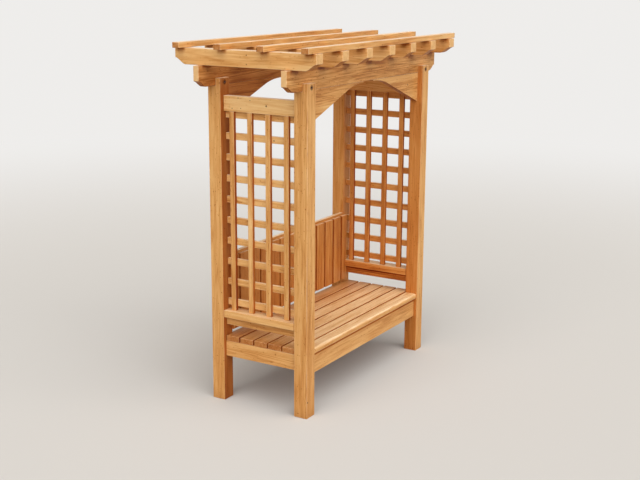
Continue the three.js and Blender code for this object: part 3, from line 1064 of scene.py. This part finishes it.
# %% The other posts and their mortises
post_edge = 0.003
edge_steps = 3
posts = ["post_front_left", "post_front_right", "post_rear_left", "post_rear_right"]
post_tints = {"post_front_right": -0.05, "post_rear_left": -0.03, "post_rear_right": -0.25}
front_shade = {"post_rear_left": 0.5}


def tenon_block(node, along):
    """The bar that a rail's two tenons are the ends of, with room round it."""
    low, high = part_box(node)
    middle = (low + high) / 2
    half = (high - low) / 2
    shares = tenon_shares(high - low, along)
    half = Vector(h * share + touch for h, share in zip(half, shares))
    return add_block("tenon cutter", middle - half, middle + half)


def overlap(first, second):
    """True if two boxes share space."""
    return all(first[0][i] < second[1][i] and second[0][i] < first[1][i] for i in range(3))


def cut_mortises(post, node):
    """Cuts a mortise for each rail that enters the post, and counts them."""
    count = 0
    for rail, (along, *_) in rails.items():
        if overlap(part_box(node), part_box(rail)):
            cut(post, tenon_block(rail, along))
            count += 1
    return count


def front(share):
    """Marks the faces that look forwards, by a share."""
    return lambda face: share * (face.normal.y < -square_on)


dressed_posts = {posts[0]: first_post}
for node in posts[1:]:
    dressed_posts[node] = copy_piece(first_post, f"{node}_dressed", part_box(node)[0] - post_low)
for node, post in dressed_posts.items():
    ease_edges(post, post_edge, edge_steps)
    mortises = cut_mortises(post, node)
    in_shade = front(front_shade.get(node, 0.0))
    finish_timber(post, node, "post_timber", along_z, in_shade, tint=post_tints.get(node, 0.0))
    print(node, mortises, "mortises")

# %% [markdown]
# Headers and rafters end in a clipped tail: the underside rises towards the end in a gentle S. Such a curve
# could be cut out with a knife or a Boolean, but drawing the end out is simpler and leaves clean faces.
# The level part is a block. Its end face is extruded a little at a time, and after each step the lower
# edge of that face is raised to the curve.

# %% Clipped tails
tail_steps = 12
tail_bend_share = 0.3


def tail_stations(length, height):
    """(way along the tail, rise) from its root to the timber's end: an S that is level at both ends."""
    stations = []
    for step in range(1, tail_steps + 1):
        t = step / tail_steps
        level = 3 * (1 - t) ** 2 * t * tail_bend_share + 3 * (1 - t) * t * t * (1 - tail_bend_share) + t**3
        rise = 3 * (1 - t) * t * t + t**3
        stations.append((length * level, height * rise))
    return stations


def draw_out(piece, along, side, stations):
    """Draws the end face out and raises its lower edge, station by station."""
    gone, risen = 0.0, 0.0
    step = Vector((0, 0, 0))
    pick(piece, "FACE", looking(along, side))
    for way, rise in stations:
        step[along] = side * (way - gone)
        pull_out(step)
        shape = bmesh.from_edit_mesh(piece.data)
        end = [corner for corner in shape.verts if corner.select]
        lowest = min(corner.co.z for corner in end)
        edge_at = max(corner.co[along] * side for corner in end)
        pick(piece, "VERT", lambda at, facing: at[along] * side > edge_at - near and at.z < lowest + near)
        bpy.ops.transform.translate(value=(0, 0, rise - risen))
        pick(piece, "FACE", lambda at, facing: at[along] * side > edge_at - near)
        gone, risen = way, rise


def make_clipped(node, along, tail_length, tail_height):
    """A level timber with both tails clipped."""
    low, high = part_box(node)
    reach = Vector((0, 0, 0))
    reach[along] = tail_length
    timber = add_block(f"{node}_dressed", low + reach, high - reach)
    with edit_mode(timber):
        for side in (-1, 1):
            draw_out(timber, along, side, tail_stations(tail_length, tail_height))
    return timber


# %% Headers
header_tail = (0.072, 0.035)
beam_edge = 0.0032
# The headers' deeper tone is partly their own and partly painted shade from the roof above them.
header_tint = 0.34
header_ends = -0.7  # bleached, so paler than the faces
down = Vector((0, 0, -1))
front_header = make_clipped("header_front", along_x, *header_tail)
for node in ("bolt_front_left", "bolt_front_right"):
    low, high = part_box(node)
    drill(front_header, (low + high) / 2, high.y - low.y, bolt_hole)
ease_edges(front_header, beam_edge, edge_steps)
rear_header = copy_piece(front_header, "header_rear_dressed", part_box("header_rear")[0] - header_low)
for header, node in ((front_header, "header_front"), (rear_header, "header_rear")):
    finish_timber(header, node, "roof_timber", along_x, seams=(down,), tint=header_tint,
                  ends_look=header_ends)
print("two headers,", round(header_high.x - header_low.x, 3), "m long")

# %% Rafters
rafter_tail = (0.072, 0.038)
rafter_ends = -0.5
first_rafter = make_clipped("rafter_1", along_y, *rafter_tail)
ease_edges(first_rafter)
rafters = [first_rafter]
for number in range(2, rafter_count + 1):
    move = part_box(f"rafter_{number}")[0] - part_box("rafter_1")[0]
    rafters.append(copy_piece(first_rafter, f"rafter_{number}_dressed", move))
for number, rafter in enumerate(rafters, start=1):
    finish_timber(rafter, f"rafter_{number}", "roof_timber", along_y, ends_look=rafter_ends)
print(len(rafters), "rafters")

# %% [markdown]
# Each pair of braces makes a shallow arch under a header. A brace is drawn out in the same way as a tail,
# from a thin slice at the post to its tip near the middle, except that its lower edge climbs first along
# a straight line and then along a curve that levels out at the tip. The braces on the left are the right
# ones turned half a circle. The eased edges where brace and header meet are seams, on the header's
# underside and on the braces' tops.

# %% Braces
brace_tip = 0.006
brace_straight_share = 0.7
brace_rise_share = 0.85
brace_steps = 12
brace_slice = 0.001
brace_tint = 0.17
up = Vector((0, 0, 1))


def brace_stations(reach, drop):
    """(way from the post, rise of the lower edge): straight first, then level at the tip."""
    straight = brace_straight_share * reach
    climb = brace_rise_share * (drop - brace_tip)
    bend = straight * (drop - brace_tip) / climb
    stations = [(straight, climb)]
    for step in range(1, brace_steps + 1):
        t = step / brace_steps
        way = (1 - t) ** 2 * straight + 2 * (1 - t) * t * bend + t * t * reach
        rise = (1 - t) ** 2 * climb + (1 - (1 - t) ** 2) * (drop - brace_tip)
        stations.append((way, rise))
    return stations


low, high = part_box("brace_front_right")
reach = high.x - low.x
slope = brace_rise_share * (high.z - low.z - brace_tip) / (brace_straight_share * reach)
slice_rise = slope * brace_slice
first_brace = add_block("brace_front_right_dressed", (high.x - brace_slice, low.y, low.z), high)
with edit_mode(first_brace):
    pick(first_brace, "VERT", lambda at, facing: at.x < high.x - near and at.z < low.z + near)
    bpy.ops.transform.translate(value=(0, 0, slice_rise))
    stations = [
        (way - brace_slice, rise - slice_rise) for way, rise in brace_stations(reach, high.z - low.z)
    ]
    draw_out(first_brace, along_x, -1, stations)
ease_edges(first_brace, beam_edge, edge_steps)

braces = {"brace_front_right": first_brace}
brace_turn_middle = (0, (low.y + high.y) / 2, 0)
turned = copy_piece(first_brace, "brace_front_left_dressed")
make_active(turned)
bpy.ops.transform.rotate(value=math.pi, orient_axis="Z", center_override=brace_turn_middle)
set_in_place(turned)
braces["brace_front_left"] = turned
for side in ("left", "right"):
    front_node, rear_node = f"brace_front_{side}", f"brace_rear_{side}"
    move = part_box(rear_node)[0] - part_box(front_node)[0]
    braces[rear_node] = copy_piece(braces[front_node], f"{rear_node}_dressed", move)
for node, brace in braces.items():
    finish_timber(brace, node, "roof_timber", along_x, seams=(up,), tint=brace_tint)
print(len(braces), "braces, each", round(reach, 3), "m long")

# %% [markdown]
# Plain boards need no joints that show: roof battens, seat slats, the two bearers under them and the slats
# of the backrest. Each still gets its own mesh between its own corners, with eased edges. The front seat
# slat also gets a rounded nose, by bevelling its two front edges, and the nose is paler, as wear and as a
# painted highlight. The outer two slats of the backrest meet the sills of the side panels, so they are
# notched round them. The faces that slats turn to each other are in a gap, so they are recessed and get
# painted shade.

# %% Battens, seat and bearers
seat_slat_count = 6
nose_radius = 0.015
nose_low_radius = 0.006
nose_steps = 8
nose_look = (0.2, 0.95)  # the upward part of a worn face's direction


def make_board(node):
    """A plain block between the node's corners."""
    return add_block(f"{node}_dressed", *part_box(node))


def round_edge(piece, y, z, radius):
    """Rounds the edge that runs along x at (y, z)."""
    with edit_mode(piece):
        pick(piece, "EDGE", lambda at, way: abs(at.y - y) < near and abs(at.z - z) < near)
        bpy.ops.mesh.bevel(offset=radius, segments=nose_steps, affect="EDGES")


def on_nose(face):
    """Marks the faces between the nose's top and its front."""
    return nose_look[0] < face.normal.z < nose_look[1]


for number in range(1, batten_count + 1):
    batten = make_board(f"batten_{number}")
    ease_edges(batten)
    finish_timber(batten, f"batten_{number}", "roof_timber", along_x)

for number in range(1, seat_slat_count + 1):
    node = f"seat_slat_{number}"
    slat = make_board(node)
    if number == 1:
        low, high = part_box(node)
        round_edge(slat, low.y, high.z, nose_radius)
        round_edge(slat, low.y, low.z, nose_low_radius)
    ease_edges(slat)
    if number == 1:
        finish_timber(slat, node, "seat_timber", along_x, worn_and_lit=on_nose)
    else:
        finish_timber(slat, node, "seat_timber", along_x, sides(along_y))

for side in ("left", "right"):
    bearer = make_board(f"seat_bearer_{side}")
    ease_edges(bearer)
    finish_timber(bearer, f"seat_bearer_{side}", "seat_timber", along_y)
print(batten_count, "battens,", seat_slat_count, "seat slats and two bearers")

# %% Backrest slats
back_slat_count = 13
for number in range(1, back_slat_count + 1):
    node = f"back_slat_{number}"
    slat = make_board(node)
    for sill in ("sill_left", "sill_right"):
        low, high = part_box(sill)
        if overlap(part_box(node), (low, high)):
            room = Vector((touch, high.y - low.y, touch))
            cut(slat, add_block("sill cutter", low - room, high + room))
    ease_edges(slat)
    finish_timber(slat, node, "back_timber", along_z, sides(along_x))
print(back_slat_count, "backrest slats")

# %% [markdown]
# A lattice panel is made of two layers: upright laths on its left and level bars on its right, let into
# the laths by two millimetres. One bar and one lath are made and copied. The lath's shallow notches are
# cut with the bars themselves, so that they fit wherever a bar is.

# %% The first bar and lath
lath_count = 4
lath_shift = 0.008
lath_thick = 0.022
lath_width = 0.034
bar_count = 10
bar_thick = 0.022
bar_depth = 0.041
bar_foot = 0.026


def bar_levels(low, high):
    """The bars' middles, from the top one down."""
    step = (high.z - low.z - bar_depth - bar_foot) / (bar_count - 1)
    return [high.z - bar_depth / 2 - i * step for i in range(bar_count)]


def lath_places(low, high):
    """The laths' middles from front to rear."""
    step = (high.y - low.y) / lath_count
    return [low.y + (i + 1 / 2) * step + lath_shift for i in range(lath_count)]


def bar_block(name, low, high, level, room=0.0):
    """A bar in the panel's right layer, or a cutter with some room round it."""
    return add_block(
        name,
        (high.x - bar_thick - room, low.y, level - bar_depth / 2 - room),
        (high.x, high.y, level + bar_depth / 2 + room),
    )


panel_low, panel_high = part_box("lattice_left")
levels = bar_levels(panel_low, panel_high)
places = lath_places(panel_low, panel_high)
first_bar = bar_block("lattice_left_bar_1", panel_low, panel_high, levels[0])
ease_edges(first_bar)
first_lath = add_block(
    "lattice_left_lath_1",
    (panel_low.x, places[0] - lath_width / 2, panel_low.z),
    (panel_low.x + lath_thick, places[0] + lath_width / 2, panel_high.z),
)
ease_edges(first_lath)
for level in levels:
    cut(first_lath, bar_block("bar cutter", panel_low, panel_high, level, touch))
print("first bar and first lath, notched", len(levels), "times")

# %% Lattice panels
bar_tint = -0.10


def first_or_copy(first, name, move):
    """The first piece itself if it has that name already, else a copy of it."""
    return first if first.name == name else copy_piece(first, name, move)


for side in ("left", "right"):
    node = f"lattice_{side}"
    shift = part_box(node)[0] - panel_low
    for number, level in enumerate(levels, start=1):
        move = shift + Vector((0, 0, level - levels[0]))
        bar = first_or_copy(first_bar, f"{node}_bar_{number}", move)
        finish_timber(bar, node, "panel_timber", along_y, tint=bar_tint)
    for number, middle in enumerate(places, start=1):
        move = shift + Vector((0, middle - places[0], 0))
        lath = first_or_copy(first_lath, f"{node}_lath_{number}", move)
        finish_timber(lath, node, "panel_timber", along_z, sides(along_y))
print("two panels of", lath_count, "laths and", bar_count, "bars")

# %% [markdown]
# A coach bolt holds each header to its post. Its round head is drawn up from a disc: the disc's face is
# extruded in small steps and grown along a quarter circle until it makes a dome. The shank goes through
# both timbers, and behind the header it carries a washer and a six-sided nut with chamfered corners, with
# a few turns of thread showing past it.

# %% Turned metal
def grow(profile, middle):
    """Draws the selected face along y and resizes it, through (way, radius) pairs."""
    way, radius = profile[0]
    for next_way, next_radius in profile[1:]:
        pull_out((0, next_way - way, 0))
        share = next_radius / radius
        bpy.ops.transform.resize(value=(share, 1, share), center_override=(middle.x, middle.y, middle.z))
        way, radius = next_way, next_radius


def turned_piece(name, middle, profile, corners=bolt_steps):
    """A round piece along y through (y, radius) pairs, from a disc at the first of them."""
    deselect_all()
    start, radius = profile[0]
    depth = profile[1][0] - start
    at = Vector((middle.x, start, middle.z)) + Vector((0, depth / 2, 0))
    bpy.ops.mesh.primitive_cylinder_add(vertices=corners, radius=radius, depth=depth, location=at,
                                        rotation=(math.pi / 2, 0, 0))
    piece = bpy.context.object
    piece.name = name
    set_in_place(piece)
    with edit_mode(piece):
        pick(piece, "FACE", looking(along_y))
        grow(profile[1:], middle)
    return piece


def finish_metal(piece, node):
    """The metal piece is done: finish, and the node of the construction that it stands for."""
    shade(piece)
    piece.data.materials.clear()
    piece.data.materials.append(finishes["bolt_zinc"])
    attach(piece, "root")
    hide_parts(node)


# %% Head and thread
head_radius = 0.011
head_height = 0.006
head_steps = 6
crown_share = 0.08  # the flat spot on the dome's crown
shank_radius = 0.005
thread_pitch = 0.0015
thread_depth = 0.0005


def head_profile(face):
    """From the dome's crown back to the face that it sits on, then down to the shank."""
    profile = [(face - head_height, head_radius * crown_share)]
    for step in range(1, head_steps + 1):
        angle = step / head_steps * math.pi / 2
        profile.append((face - head_height * math.cos(angle), head_radius * math.sin(angle)))
    profile.append((face, shank_radius))
    return profile


def thread_profile(start, end):
    """Crests and roots of the thread."""
    profile = []
    turns = int((end - start) / thread_pitch)
    for turn in range(turns):
        crest = start + (turn + 1 / 2) * thread_pitch
        profile.append((crest, shank_radius))
        profile.append((start + (turn + 1) * thread_pitch, shank_radius - thread_depth))
    profile.append((end, shank_radius - 2 * thread_depth))
    return profile


# %% Bolts
washer_radius = 0.011
washer_thick = 0.002
washer_edge = washer_thick / 4
nut_radius = 0.009
nut_height = 0.008
nut_sides = 6
nut_chamfer = nut_height / 8
nut_face_share = 0.9
bolt_end = 0.005


def finish_bored(piece, node, middle, depth):
    """Drills a washer or a nut for the shank, and finishes it."""
    drill(piece, middle, depth, 2 * (shank_radius + touch))
    finish_metal(piece, node)


def make_bolt(node):
    """A bolt with its washer and nut."""
    low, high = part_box(node)
    middle = (low + high) / 2
    through = 2 * (high.y - low.y)
    nut_back = high.y - bolt_end
    nut_front = nut_back - nut_height
    washer_front = nut_front - washer_thick
    shank = [(washer_front, shank_radius)] + thread_profile(washer_front, high.y)
    bolt = turned_piece(f"{node}_shank", middle, head_profile(low.y + head_height) + shank)
    finish_metal(bolt, node)
    washer = turned_piece(f"{node}_washer", middle, [
        (washer_front, washer_radius),
        (nut_front - washer_edge, washer_radius),
        (nut_front, washer_radius - washer_edge),
    ])
    finish_bored(washer, node, middle, through)
    nut = turned_piece(f"{node}_nut", middle, [
        (nut_front, nut_radius),
        (nut_back - nut_chamfer, nut_radius),
        (nut_back, nut_radius * nut_face_share),
    ], nut_sides)
    finish_bored(nut, node, middle, through)


for node in ("bolt_front_left", "bolt_front_right", "bolt_rear_left", "bolt_rear_right"):
    make_bolt(node)
print("four bolts with washers and nuts")
